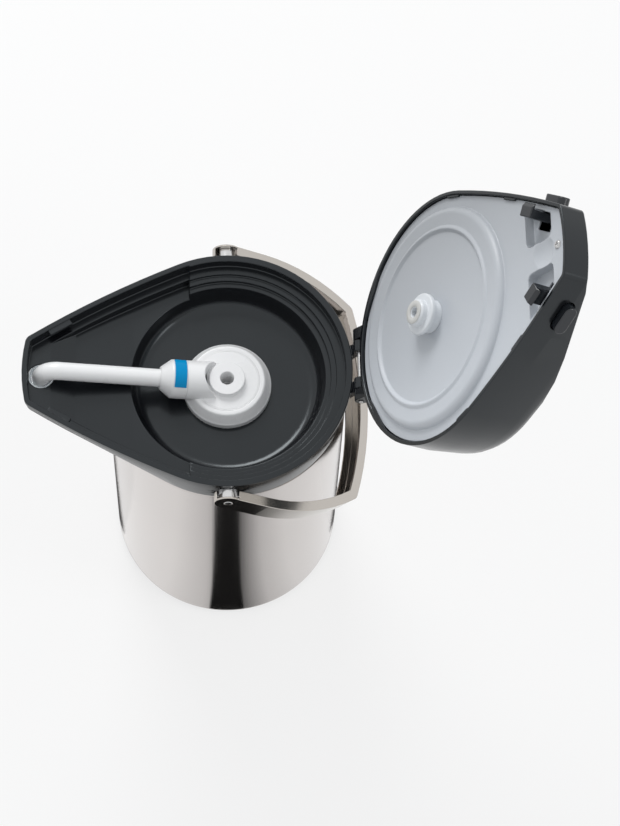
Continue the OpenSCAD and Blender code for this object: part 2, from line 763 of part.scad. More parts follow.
module stopper_gasket() {
    color([0.82, 0.82, 0.8]) translate([0, 0, ring_z]) rotate_extrude() polygon([
        [plug_r - ring_deep, 0], [plug_r, 0], [gasket_r, 1], [gasket_r, 1.6], [plug_r + 0.3, 2],
        [gasket_r, 2.4], [gasket_r, 3], [plug_r, ring_h], [plug_r - ring_deep, ring_h]]);
}
module straw() {
    low = liner_lift + liner_t + straw_gap;
    top = well_floor - plug_h + 8;
    color([0.92, 0.93, 0.93]) translate([0, -straw_y, low]) difference() {
        cylinder(d = straw_d, h = top - low);
        translate([0, 0, -over]) cylinder(d = straw_d - 2 * straw_t, h = top - low + 2 * over);
        translate([-straw_d, 0, -over]) cube([2 * straw_d, straw_d, over + 2]);
    }
}
pipe_r = pipe_d / 2;
module pipe_nut() {
    color([0.92, 0.92, 0.91]) along_pipe() translate([0, 0, neck_end]) difference() {
        union() {
            cylinder(r = nut_r, h = nut_l);
            translate([0, 0, nut_l]) cylinder(r1 = nut_r, r2 = pipe_r + 1.4, h = cone_l);
        }
        translate([0, 0, -over]) cylinder(r = neck_spigot_r + pin_gap, h = spigot_l + over + 0.5);
        translate([0, 0, -over]) cylinder(r = pipe_r + pin_gap, h = nut_l + cone_l + 2 * over);
    }
}
clip_start = 0.7;
module nut_clip() {
    color([0.05, 0.5, 0.75]) along_pipe() translate([0, 0, neck_end + clip_start]) intersection() {
        difference() {
            cylinder(r = nut_r + clip_t, h = clip_l);
            translate([0, 0, -over]) cylinder(r = nut_r, h = clip_l + 2 * over);
        }
        linear_extrude(clip_l) polygon(concat(
            [[0, 0]], arc([0, 0], 2 * nut_r, 90 - clip_half, 90 + clip_half, 4)));
    }
}
// The bend's centre: the outlet's axis hangs down in front of it, and the pipe's line touches it from below
bend_y = -outlet_y + pipe_bend;
bend_z = well_floor + pipe_up - tan(pipe_rise) * (bend_y + pipe_bend * sin(pipe_rise)) - pipe_bend * cos(pipe_rise);
pipe_start = neck_end + spigot_l + 1;
pipe_end = -(bend_y + pipe_bend * sin(pipe_rise)) / cos(pipe_rise);
// The pipe as a rod of one radius, with its ends lengthened by a distance.
// The bend is thicker by a hair, so that the ends of the straight rods lie inside it.
hair = 0.02;
module pipe_rod(r, longer) {
    along_pipe() translate([0, 0, pipe_start - longer]) cylinder(r = r, h = pipe_end - pipe_start + longer + bit);
    translate([0, bend_y, bend_z]) rotate([90, 0, 90]) intersection() {
        rotate_extrude() translate([pipe_bend, 0]) circle(r = r + hair);
        linear_extrude(2 * pipe_d, center = true) polygon(concat(
            [[0, 0]], arc([0, 0], 3 * pipe_bend, 90 - pipe_rise, 180, 3)));
    }
    translate([0, -outlet_y, bend_z - pipe_drop - longer]) cylinder(r = r, h = pipe_drop + longer + bit);
}
module dispensing_pipe() {
    color([0.93, 0.93, 0.92]) difference() {
        pipe_rod(pipe_r, 0);
        pipe_rod(pipe_r - pipe_t, over);
    }
}

// Lid, with z counted from the rim

module open_lid() {
    translate([0, hinge_y, hinge_z]) rotate([-lid_angle, 0, 0])
        translate([0, -hinge_y, rim_z - hinge_z]) children();
}
// The lid's upright wall, and above it layers: how far each is drawn in, where its front is cut,
// and its height below the top
lid_layers = [
    [0.5, tip_y - 8, lid_h - 22], [1, tip_y - 20, lid_h - 25.5],
    [1.5, tip_y - 36, lid_h - 31.5], [2.2, tip_y - 50, lid_h - 37.8], [3.2, tip_y - 66, lid_h - 43.2],
    [5, tip_y - 83, lid_h - 47], [8, tip_y - 91, lid_h - 49.3], [12, tip_y - 97, 0]
];
module lid_form(in, low, down) {
    hull() {
        plan_slab(in, low, upright_h - down - low);
        for (l = lid_layers)
            cut_plan_slab(l[0] + in, l[1] - in, lid_h - l[2] - down - 0.01, 0.01);
    }
}
guide_r = push_r + push_gap;
guide_h = 12;
seat_z = cover_deep + cover_t;
screw_y = tip_y - 7;
screw_r = 1.5;
screw_wall = 1.8;
shank_w = 5.5;
latch_spring_l = 11;
rib_in = hook_in + shank_w + latch_spring_l;
rib_t = 2;
rib_l = 10;
rib_z = pocket_h + cover_t + 1;
arm_z = button_z + 0.4;
button_gap = 0.7;
tab_w = 1.8;
// A button's round-ended outline, grown by a gap and drawn out along x
module button_form(gap, start, l) {
    r = button_h / 2 + gap;
    mid = (button_l - button_h) / 2;
    translate([start, 0, button_z + button_h / 2]) rotate([90, 0, 90]) linear_extrude(l)
        polygon(concat(arc([mid, 0], r, -90, 90, 10), arc([-mid, 0], r, 90, 270, 10)));
}
module lid_knuckle() {
    hull() {
        translate([0, hinge_y, hinge_up]) rotate([0, 90, 0]) cylinder(r = knuckle_r, h = knuckle_w, $fn = 32);
        translate([0, plan_r - 7, 1.5]) cube([knuckle_w, 3, 12]);
    }
}
// A tab that holds the cover's edge, where x points out of the shell from its outer face
module snap_tab(l) {
    translate([-lid_t - tab_w, -l / 2, cover_deep - 1.5]) cube([tab_w + 0.6, l, 1.3]);
}
module lid_shell() {
    color([0.19, 0.2, 0.22]) open_lid() difference() {
        union() {
            difference() {
                union() {
                    lid_form(0, lid_gap, 0);
                    translate([knuckle_in + knuckle_w + knuckle_gap, 0, 0]) lid_knuckle();
                    translate([-knuckle_out, 0, 0]) lid_knuckle();
                }
                lid_form(lid_t, -over, lid_t);
            }
            difference() {
                plan_slab(lid_t - bit, seat_z, 2);
                plan_slab(seat_w_in, seat_z - over, 2 + 2 * over);
            }
            intersection() {
                lid_form(lid_t / 2, lid_gap, lid_t / 2);
                union() {
                    translate([0, pump_y, lid_h - guide_h]) cylinder(r = guide_r + push_t, h = guide_h);
                    translate([0, -screw_y, seat_z]) cylinder(r = screw_r + screw_wall, h = lid_h);
                    for (side = [-1, 1]) at_hook(side) translate([-rib_in - rib_t, -rib_l / 2, rib_z])
                        cube([rib_t, rib_l, lid_h]);
                }
            }
            for (side = [-1, 1]) mirror([side < 0 ? 1 : 0, 0, 0]) {
                rotate([0, 0, -18]) translate([plan_r, 0, 0]) snap_tab(tab_l);
                rotate([0, 0, 58]) translate([plan_r, 0, 0]) snap_tab(rear_tab_l);
            }
            for (side = [-1, 1]) at_side(side, latch_back + 24) snap_tab(tab_l);
        }
        translate([0, pump_y, lid_h - guide_h - over]) cylinder(r = guide_r, h = guide_h + 10);
        translate([0, -screw_y, seat_z - over]) cylinder(r = screw_r - 0.05, h = 9 + over);
        for (side = [-1, 1]) at_latch(side) button_form(button_gap, -lid_t - 2, lid_t + 4);
        translate([0, hinge_y, hinge_up]) rotate([0, 90, 0])
            cylinder(d = pin_d + 2 * pin_gap, h = 2 * plan_r, center = true);
    }
}

// Underside of the cover's round part: a shallow cone, a bead and a round edge
dish_z = -0.5;
dish_rise = 1.2;
function bead(r) = abs(r - bead_r) < bead_w ? bead_h * (1 + cos(180 * (r - bead_r) / bead_w)) / 2 : 0;
boss_round_z = boss_round - boss_high;
boss_end = -asin((boss_round_z - cover_deep) / boss_round);
cover_line = concat(
    [[8.3, dish_z], [12, dish_z]],
    [for (i = [0:10]) let (r = bead_r - bead_w + 2 * bead_w * i / 10)
        [r, -dish_rise - (boss_high - dish_rise) * i / 20 - bead(r)]],
    arc([boss_r - boss_round, boss_round_z], boss_round, -90, boss_end, 8),
    [[boss_r + 2, cover_deep]]);
pocket_y = tip_y - 12.5;
// The two pockets, grown by a wall
module nose_pockets(grow, low) {
    r = pocket_corner + grow;
    x = ridge_half - grow + r;
    front = -pocket_y - grow + r;
    back = -pocket_y + pocket_l + grow - r;
    intersection() {
        plan_slab(pocket_in - grow, low, 30);
        for (side = [-1, 1]) mirror([side < 0 ? 1 : 0, 0, 0])
            translate([0, 0, low]) linear_extrude(pocket_h - low + grow) polygon(concat(
                [[plan_r, back + r]], arc([x, back], r, 90, 180, 5), arc([x, front], r, 180, 270, 5),
                [[plan_r, front - r]]));
    }
}
// A shallow round hollow in the ridge, over the bend of the pipe
dimple_r = 23;
dimple_y = outlet_y - pipe_bend - 1.2;
dimple_top = bend_z + pipe_bend + pipe_r - rim_z + 1;
module dimple(grow) {
    translate([0, -dimple_y, dimple_top - dimple_r]) rotate([0, 90, 0]) sphere(r = dimple_r + grow);
}
module hook_slot() {
    translate([-hook_in - shank_w - latch_travel - slot_gap, -hook_l / 2 - slot_gap, 0])
        cube([shank_w + latch_travel + 2 * slot_gap, hook_l + 2 * slot_gap, 20]);
}
module inner_cover() {
    color([0.82, 0.85, 0.88]) open_lid() difference() {
        union() {
            difference() {
                plan_slab(lid_t + cover_gap, cover_deep, cover_t);
                translate([0, 0, cover_deep - over]) cylinder(r = boss_r + 1, h = cover_t + 2 * over);
            }
            rotate_extrude() polygon(concat(
                cover_line, [for (i = [len(cover_line) - 1:-1:0]) cover_line[i] + [0, cover_t]]));
            nose_pockets(pocket_wall, cover_deep);
            intersection() {
                dimple(pocket_wall);
                plan_slab(lid_t + cover_gap, cover_deep, lid_h);
            }
        }
        nose_pockets(0, cover_deep - over);
        dimple(0);
        for (side = [-1, 1]) at_hook(side) hook_slot();
        translate([0, -screw_y, 0]) cylinder(r = screw_r + 0.2, h = 20);
    }
}
module cover_screw() {
    color("silver") open_lid() translate([0, -screw_y, cover_deep]) {
        difference() {
            translate([0, 0, -1]) cylinder(r1 = 2.2, r2 = 2.8, h = 1);
            translate([0, 0, -1 - over]) linear_extrude(over + 0.7) union() {
                square([3, 0.7], center = true);
                square([0.7, 3], center = true);
            }
        }
        cylinder(r = screw_r - 0.1, h = cover_t + 8);
    }
}

// Air nozzle and pump

module air_nozzle() {
    r = air_d / 2;
    front = -nozzle_reach + 0.6;
    color([0.93, 0.94, 0.95]) open_lid() rotate_extrude() polygon([
        [r, front], [nozzle_front_r - 1, front], [nozzle_front_r, front + 1], [nozzle_front_r, -9.8],
        [nozzle_r - 0.6, -9.8], [nozzle_r, -9.2], [nozzle_r, -7], [nozzle_r - 2.6, -6], [nozzle_r - 2.6, dish_z],
        [8.2, dish_z], [8.2, dish_z + cover_t], [8.2, dish_z + cover_t + 1.6], [r, dish_z + cover_t + 1.6]]);
}
module nozzle_seal() {
    front = -nozzle_reach + 0.6;
    color([0.85, 0.86, 0.86]) open_lid() translate([0, 0, front - 0.6]) difference() {
        cylinder(r = nozzle_front_r - 1.2, h = 0.6);
        translate([0, 0, -over]) cylinder(r = air_d / 2 + 0.6, h = 0.6 + 2 * over);
    }
}
pump_low = dish_z + cover_t;
plate_t = 2;
push_edge = lid_h + push_proud;
plate_z = push_edge - push_dome - push_t - 5;
bellows_top = plate_z - 1.2;
bellows_foot_w = 2.6;
bellows_foot_t = 1.4;
bellows_neck = 1.5;
ring_high = 3.4;
ring_out = bellows_r + bellows_foot_w + 0.9;
module bellows() {
    h0 = pump_low + bellows_foot_t;
    step = (bellows_top - h0) / pleats;
    inner = [for (i = [0:pleats - 1]) each [
        [bellows_r - pleat_d, h0 + i * step], [bellows_r - bellows_t, h0 + (i + 0.5) * step]]];
    outer = [for (i = [0:pleats - 1]) each [
        [bellows_r - pleat_d + bellows_t, h0 + i * step], [bellows_r, h0 + (i + 0.5) * step]]];
    color([0.75, 0.75, 0.73]) open_lid() translate([0, pump_y, 0]) rotate_extrude() polygon(concat(
        [[bellows_r - pleat_d, pump_low], [bellows_r + bellows_foot_w, pump_low], [bellows_r + bellows_foot_w, h0]],
        outer,
        [[bellows_r - pleat_d + bellows_t, bellows_top], [bellows_r - bellows_neck, bellows_top],
         [bellows_r - bellows_neck, plate_z], [bellows_r - pleat_d, plate_z]],
        [for (i = [len(inner) - 1:-1:0]) inner[i]]));
}
module bellows_ring() {
    color([0.85, 0.86, 0.87]) open_lid() translate([0, pump_y, pump_low]) rotate_extrude() polygon([
        [ring_out - 0.8, 0], [ring_out, 0], [ring_out, ring_high], [bellows_r + 0.4, ring_high],
        [bellows_r + 0.4, bellows_foot_t], [ring_out - 0.8, bellows_foot_t]]);
}
module bellows_plate() {
    color([0.85, 0.86, 0.87]) open_lid() translate([0, pump_y, plate_z]) difference() {
        cylinder(r = bellows_r - 0.6, h = plate_t);
        translate([0, 0, -over]) cylinder(r = 1.6, h = plate_t + 2 * over);
        for (a = [0:60:300]) rotate([0, 0, a]) translate([6, 0, -over]) cylinder(r = 1.5, h = plate_t + 2 * over);
    }
}
module intake_valve() {
    color([0.7, 0.7, 0.68]) open_lid() translate([0, pump_y, plate_z]) {
        translate([0, 0, -1]) cylinder(r = 9, h = 1);
        cylinder(r = 1.5, h = plate_t);
        translate([0, 0, plate_t]) cylinder(r = 2.4, h = 1.2);
    }
}
// Points of a ring of a round-wire helix with closed ends
function wire_ring(r, wire, pitch, a, z) =
    [for (k = [0:5]) let (q = r + wire / 2 * cos(60 * k))
        [q * cos(a), q * sin(a), z + wire / 2 * sin(60 * k)]];
// A helical spring that stands on z = 0 as one unbroken tube of six sides
module spring(r, wire, turns, height, steps) {
    n = turns * steps;
    rise = (height - wire) / n;
    points = [for (i = [0:n]) each wire_ring(r, wire, rise, i * 360 / steps, wire / 2 + i * rise)];
    sides = [for (i = [0:n - 1], k = [0:5]) each [
        [6 * i + k, 6 * i + 6 + k, 6 * i + (k + 1) % 6],
        [6 * i + (k + 1) % 6, 6 * i + 6 + k, 6 * i + 6 + (k + 1) % 6]]];
    start = [for (k = [1:4]) [0, k, k + 1]];
    end = [for (k = [1:4]) [6 * n, 6 * n + k + 1, 6 * n + k]];
    polyhedron(points, concat(sides, start, end), convexity = 6);
}
module pump_spring() {
    color("silver") open_lid() translate([0, pump_y, pump_low])
        spring(spring_r, spring_wire, spring_turns, plate_z - pump_low, 16);
    echo(least_gap_in_the_pump_spring = (plate_z - pump_low - spring_wire) / spring_turns - spring_wire);
}
module push_plate() {
    dome_r = (push_r * push_r + push_dome * push_dome) / (2 * push_dome);
    dome_half = asin(push_r / dome_r);
    top = arc([0, push_dome - dome_r], dome_r, 90, 90 - dome_half + 1.5, 6);
    color([0.17, 0.18, 0.2]) open_lid() translate([0, pump_y, push_edge]) {
        rotate_extrude() polygon(concat(
            top,
            [[push_r, -1.2], [push_r, -push_skirt], [push_r - push_t, -push_skirt], [push_r - push_t, -push_t - 1]],
            [for (i = [5:-1:0]) top[i] - [0, push_t]]));
        translate([0, 0, plate_z + plate_t - push_edge]) rotate_extrude()
            translate([bellows_r - 8, 0]) square([2, push_edge - plate_z - plate_t - push_t + 1.6]);
    }
}

// Latches

nose_top = -catch_deep - 0.4;
nose_h = 2.1;
nose_w = 3.1;
nose_edge = 0.6;
latch_flange_t = 1.8;
latch_flange_w = 1.5;
latch_flange_drop = 3.5;
arm_h = 4;
spring_seat_r = 3;
spring_h = button_z + button_h - spring_seat_r;
latch_spring_r = 2;
latch_spring_wire = 0.6;
latch_spring_turns = 5;
module latch(side) {
    flange_in = lid_t + 0.4;
    shank_in = hook_in + shank_w;
    color([0.16, 0.17, 0.19]) open_lid() {
        at_latch(side) {
            button_form(0, -flange_in, button_out + flange_in);
            translate([-flange_in - latch_flange_t, -button_l / 2 - latch_flange_w, button_z])
                cube([latch_flange_t, button_l + 2 * latch_flange_w, button_h - latch_flange_drop]);
        }
        at_hook(side) {
            translate([-shank_in, -hook_l / 2, arm_z]) cube([shank_in - flange_in, hook_l, arm_h]);
            translate([-shank_in, -hook_l / 2, nose_top - nose_h])
                cube([shank_w, hook_l, spring_h + spring_seat_r - nose_top + nose_h]);
            translate([-hook_in, 0, nose_top]) rotate([90, 0, 0]) linear_extrude(hook_l, center = true)
                polygon([[-bit, 0], [nose_w, 0], [nose_w, -nose_edge], [nose_w / 4, -nose_h], [-bit, -nose_h]]);
        }
    }
}
module latch_spring(side) {
    color("silver") open_lid() at_hook(side) translate([-hook_in - shank_w, 0, spring_h]) rotate([0, -90, 0])
        spring(latch_spring_r, latch_spring_wire, latch_spring_turns, latch_spring_l, 8);
}

foot_ring();
base_ring();
shell_bottom();
outer_shell();
shoulder();
inner_liner();
mouth_gasket();
collar();
outlet_sleeve();
bail_studs();
bail();
hinge_pin();
stopper_cap();
stopper_plug();
stopper_gasket();
pipe_nut();
nut_clip();
dispensing_pipe();
straw();
lid_shell();
inner_cover();
cover_screw();
air_nozzle();
nozzle_seal();
bellows();
bellows_ring();
bellows_plate();
intake_valve();
pump_spring();
push_plate();
latch(-1);  // latch_left
latch(1);  // latch_right
latch_spring(-1);  // latch_spring_left
latch_spring(1);  // latch_spring_right
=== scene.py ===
import json
import math

import bmesh
import bpy
from mathutils import Matrix, Vector

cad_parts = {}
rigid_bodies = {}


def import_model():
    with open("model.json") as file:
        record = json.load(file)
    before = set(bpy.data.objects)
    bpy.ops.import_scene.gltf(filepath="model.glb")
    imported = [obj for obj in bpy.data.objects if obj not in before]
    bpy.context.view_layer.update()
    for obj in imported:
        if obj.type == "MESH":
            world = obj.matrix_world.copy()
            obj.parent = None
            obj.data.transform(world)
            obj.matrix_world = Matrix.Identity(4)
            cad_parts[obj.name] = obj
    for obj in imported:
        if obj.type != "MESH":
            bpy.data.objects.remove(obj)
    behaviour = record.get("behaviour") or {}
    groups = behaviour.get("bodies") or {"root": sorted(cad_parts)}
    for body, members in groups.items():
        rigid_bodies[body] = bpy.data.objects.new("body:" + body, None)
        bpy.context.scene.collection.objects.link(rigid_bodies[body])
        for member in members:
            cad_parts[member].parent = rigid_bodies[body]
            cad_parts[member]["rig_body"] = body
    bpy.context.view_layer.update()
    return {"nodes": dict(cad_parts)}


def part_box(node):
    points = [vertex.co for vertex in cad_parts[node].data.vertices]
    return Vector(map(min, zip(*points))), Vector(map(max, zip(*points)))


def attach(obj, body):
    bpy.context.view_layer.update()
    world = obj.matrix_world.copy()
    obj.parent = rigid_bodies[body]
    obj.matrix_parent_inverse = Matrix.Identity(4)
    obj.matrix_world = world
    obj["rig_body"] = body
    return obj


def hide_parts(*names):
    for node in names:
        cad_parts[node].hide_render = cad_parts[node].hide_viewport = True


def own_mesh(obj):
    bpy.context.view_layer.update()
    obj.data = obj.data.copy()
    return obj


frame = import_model()
nodes = frame["nodes"]
collection = bpy.context.scene.collection

# Camera
#
# It looks steeply down from the jug's right side, from about two metres away,
# with a long lens. The lens was measured in pixels of the picture's longer side.
camera = bpy.data.objects.new("camera", bpy.data.cameras.new("camera"))
collection.objects.link(camera)
camera_right = Vector((0.01849071, 0.99946893, 0.02683194))
camera_up = Vector((-0.92342679, 0.00678261, 0.38371468))
camera_back = Vector((0.38332891, -0.03187249, 0.92306180))
camera_place = Vector((0.74038724, -0.00686158, 1.96442709))
turn = Matrix((camera_right, camera_up, camera_back)).transposed().to_4x4()
camera.matrix_world = Matrix.Translation(camera_place) @ turn
focal_px = 2926.643
picture_px = 826
camera.data.sensor_width = 36
camera.data.lens = camera.data.sensor_width * focal_px / picture_px
camera.data.clip_start = 0.2
camera.data.clip_end = 30
bpy.context.scene.camera = camera
bpy.context.scene.view_settings.view_transform = "Standard"

# Studio
#
# A white surround, a pale floor that keeps the jug's shadow and soft lamps overhead.
# Cards that only reflections see stand in for what the polished steel mirrors.


def add_object(name, mesh):
    piece = bpy.data.objects.new(name, mesh)
    collection.objects.link(piece)
    return piece


def flat_mesh(name, corners):
    mesh = bpy.data.meshes.new(name)
    mesh.from_pydata([Vector(c) for c in corners], [], [list(range(len(corners)))])
    return mesh


def add_node(tree, kind, values=None, **settings):
    """A new node with its settings, and the values of its sockets by name or number."""
    node = tree.nodes.new(kind)
    for key, value in settings.items():
        setattr(node, key, value)
    for socket, value in (values or {}).items():
        node.inputs[socket].default_value = value
    return node


def join(tree, *links):
    """Links in a tree, each written as a node and its output, then a node and its input."""
    for source, output, target, socket in links:
        tree.links.new(source.outputs[output], target.inputs[socket])


def bare_tree(owner):
    """The emptied node tree of a world or a material."""
    owner.use_nodes = True
    owner.node_tree.nodes.clear()
    return owner.node_tree


def finish_of(name, colour, roughness, metal=0.0, specular=0.5):
    """A new material and its shader, with the values that are the same all over."""
    made = bpy.data.materials.new(name)
    made.use_nodes = True
    shader = made.node_tree.nodes["Principled BSDF"]
    shader.inputs["Base Color"].default_value = (*colour, 1)
    shader.inputs["Roughness"].default_value = roughness
    shader.inputs["Metallic"].default_value = metal
    shader.inputs["Specular IOR Level"].default_value = specular
    return made, shader


ambient = 0.62
world = bpy.data.worlds.new("studio")
bpy.context.scene.world = world
tree = bare_tree(world)
rays = add_node(tree, "ShaderNodeLightPath")
seen = add_node(tree, "ShaderNodeMath", operation="MAXIMUM")
seen_too = add_node(tree, "ShaderNodeMath", operation="MAXIMUM")
dim = add_node(tree, "ShaderNodeBackground", {"Color": (0.97, 0.985, 1, 1), "Strength": ambient})
white = add_node(tree, "ShaderNodeBackground", {"Color": (1, 1, 1, 1)})
both = add_node(tree, "ShaderNodeMixShader")
world_out = add_node(tree, "ShaderNodeOutputWorld")
join(tree,
     (rays, "Is Camera Ray", seen, 0),
     (rays, "Is Glossy Ray", seen, 1),
     (seen, 0, seen_too, 0),
     (rays, "Is Transmission Ray", seen_too, 1),
     (seen_too, 0, both, "Fac"),
     (dim, 0, both, 1),
     (white, 0, both, 2),
     (both, 0, world_out, "Surface"))

half_floor = 12.0
floor_glow = 0.72
floor = add_object("floor", flat_mesh("floor", [
    (-half_floor, -half_floor, 0), (half_floor, -half_floor, 0),
    (half_floor, half_floor, 0), (-half_floor, half_floor, 0)]))
floor_paint = bpy.data.materials.new("floor_paint")
tree = bare_tree(floor_paint)
rays = add_node(tree, "ShaderNodeLightPath")
seen = add_node(tree, "ShaderNodeMath", operation="MAXIMUM")
share = add_node(tree, "ShaderNodeMath", {1: floor_glow}, operation="MULTIPLY")
lit = add_node(tree, "ShaderNodeBsdfDiffuse", {"Color": (0.86, 0.86, 0.86, 1)})
glow = add_node(tree, "ShaderNodeEmission")
both = add_node(tree, "ShaderNodeMixShader")
floor_out = add_node(tree, "ShaderNodeOutputMaterial")
join(tree,
     (rays, "Is Camera Ray", seen, 0),
     (rays, "Is Glossy Ray", seen, 1),
     (seen, 0, share, 0),
     (share, 0, both, "Fac"),
     (lit, 0, both, 1),
     (glow, 0, both, 2),
     (both, 0, floor_out, "Surface"))
floor.data.materials.append(floor_paint)


def soft_lamp(name, place, aim, size, power):
    """A round lamp that shines from its place toward its aim, and isn't seen itself."""
    data = bpy.data.lights.new(name, "AREA")
    data.shape = "DISK"
    data.size = size
    data.energy = power
    lamp = bpy.data.objects.new(name, data)
    collection.objects.link(lamp)
    lamp.location = place
    lamp.rotation_euler = (Vector(aim) - Vector(place)).to_track_quat("-Z", "Y").to_euler()
    lamp.visible_camera = False


soft_lamp("overhead", place=(-1.3, -0.35, 1.35), aim=(0, 0, 0.2), size=0.9, power=15)
soft_lamp("side", place=(0.5, 1.5, 1.5), aim=(0, 0.05, 0.3), size=0.8, power=6)


def reflected_card(name, corners, material):
    """A flat card that only shows in reflections."""
    card = add_object(name, flat_mesh(name, corners))
    card.data.materials.append(material)
    card.visible_camera = False
    card.visible_diffuse = False
    card.visible_shadow = False
    card.visible_transmission = False


# what the steel mirrors of the floor: a grey that follows the direction seen from the jug
fan_stops = [
    (-80, 1.0), (-38, 0.95), (-14, 0.72), (-10.3, 0.60), (-9.6, 0.01), (8.4, 0.01),
    (9.0, 0.16), (14, 0.34), (24, 0.66), (42, 0.86), (80, 0.95)]
fan_inner, fan_outer, fan_z = 0.0785, 0.26, 0.0004
fan_half_turn, fan_steps = 80, 32
fan_grey = bpy.data.materials.new("fan_grey")
tree = bare_tree(fan_grey)
where = add_node(tree, "ShaderNodeTexCoord")
apart = add_node(tree, "ShaderNodeSeparateXYZ")
angle = add_node(tree, "ShaderNodeMath", operation="ARCTAN2")
share = add_node(tree, "ShaderNodeMapRange", {"From Min": -math.pi / 2, "From Max": math.pi / 2})
ramp = add_node(tree, "ShaderNodeValToRGB")
glow = add_node(tree, "ShaderNodeEmission")
fan_out = add_node(tree, "ShaderNodeOutputMaterial")
join(tree,
     (where, "Object", apart, 0),
     (apart, "Y", angle, 0),
     (apart, "X", angle, 1),
     (angle, 0, share, "Value"),
     (share, 0, ramp, "Fac"),
     (ramp, "Color", glow, "Color"),
     (glow, 0, fan_out, "Surface"))
stops = ramp.color_ramp.elements
for k, (degrees, grey) in enumerate(fan_stops):
    place = degrees / 180 + 0.5
    stop = stops[k] if k < 2 else stops.new(place)
    stop.position = place
    stop.color = (grey, grey, grey, 1)
around = [math.radians(fan_half_turn * (2 * k / fan_steps - 1)) for k in range(fan_steps + 1)]
outer_line = [(fan_outer * math.cos(a), fan_outer * math.sin(a), fan_z) for a in around]
inner_line = [(fan_inner * math.cos(a), fan_inner * math.sin(a), fan_z) for a in around]
reflected_card("fan_card", outer_line + inner_line[::-1], fan_grey)

# two dark wedges on the floor, beside the jug and behind it
card_black, shader = finish_of("card_black", (0, 0, 0), 0.5, specular=0)
wedge_z = 0.0005
wedge_front, wedge_back = 0.02, -0.15
wedge_in, wedge_out = 0.078, 0.16
reflected_card("left_card", [
    (wedge_front, -wedge_in, wedge_z), (wedge_back, -wedge_in, wedge_z),
    (wedge_back, -wedge_out, wedge_z)], card_black)
reflected_card("right_card", [
    (wedge_front, wedge_in, wedge_z), (wedge_back, wedge_out, wedge_z),
    (wedge_back, wedge_in, wedge_z)], card_black)

# a pale card under the open lid lights the bail's upper edge
card_pale, shader = finish_of("pale_card", (0, 0, 0), 0.5)
shader.inputs["Emission Color"].default_value = (0.6, 0.59, 0.57, 1)
shader.inputs["Emission Strength"].default_value = 1
pale_y = 0.079
pale_near, pale_far = 0.12, 0.02
pale_low, pale_high = 0.262, 0.32
reflected_card("bail_card", [
    (pale_far, pale_y, pale_low), (pale_near, pale_y, pale_low),
    (pale_near, pale_y, pale_high), (pale_far, pale_y, pale_high)], card_pale)

# Steel shell
#
# A deep-drawn stainless steel tube with a rolled bottom edge, polished along its
# height. Its bottom is closed by a spun steel disc, and a shoulder carries the liner.
mm = 0.001
# CAD points this near are one point, shorter edges vanish, and facets this level are one face
weld_gap, shortest_edge, level_angle = 2e-5, 8e-5, 0.6


def smooth(mesh, sharp):
    """Smooth shading up to an angle in degrees, past which an edge stays sharp."""
    mesh.polygons.foreach_set("use_smooth", [True] * len(mesh.polygons))
    mesh.set_sharp_from_angle(angle=math.radians(sharp))


def skin(node, edge, material, sharp=32):
    """A finished copy of a CAD node: whole faces, rounded edges and smooth shading."""
    shape = bmesh.new()
    shape.from_mesh(nodes[node].data)
    bmesh.ops.remove_doubles(shape, verts=shape.verts, dist=weld_gap)
    bmesh.ops.dissolve_degenerate(shape, dist=shortest_edge, edges=shape.edges)
    bmesh.ops.dissolve_limit(
        shape, angle_limit=math.radians(level_angle), verts=shape.verts, edges=shape.edges)
    mesh = bpy.data.meshes.new(node + "_finished")
    shape.to_mesh(mesh)
    shape.free()
    smooth(mesh, sharp)
    piece = add_object(mesh.name, mesh)
    if edge:
        bevel = piece.modifiers.new("rounded_edges", "BEVEL")
        bevel.width = edge * mm
        bevel.segments = 2
        bevel.limit_method = "ANGLE"
        bevel.angle_limit = math.radians(sharp)
        bevel.miter_outer = "MITER_ARC"
        bevel.use_clamp_overlap = False
        normals = piece.modifiers.new("even_shading", "WEIGHTED_NORMAL")
        normals.keep_sharp = True
    piece.data.materials.append(material)
    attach(piece, nodes[node]["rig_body"])
    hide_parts(node)


def geometry_group(name, inputs):
    """A new geometry node group with named inputs and one output, with its ends."""
    made = bpy.data.node_groups.new(name, "GeometryNodeTree")
    for socket, kind in inputs:
        made.interface.new_socket(socket, in_out="INPUT", socket_type=kind)
    made.interface.new_socket("Geometry", in_out="OUTPUT", socket_type="NodeSocketGeometry")
    return made, made.nodes.new("NodeGroupInput"), made.nodes.new("NodeGroupOutput")


def grown(name, seed, group, values):
    """A piece whose plain mesh a geometry node group makes from a seed and these values."""
    piece = add_object(name, seed)
    growth = piece.modifiers.new(group.name, "NODES")
    growth.node_group = group
    for socket in group.interface.items_tree:
        if socket.name in values:
            growth[socket.identifier] = values[socket.name]
    evaluated = piece.evaluated_get(bpy.context.evaluated_depsgraph_get())
    mesh = bpy.data.meshes.new_from_object(evaluated)
    piece.modifiers.remove(growth)
    mesh.name = name
    piece.data = mesh
    return piece


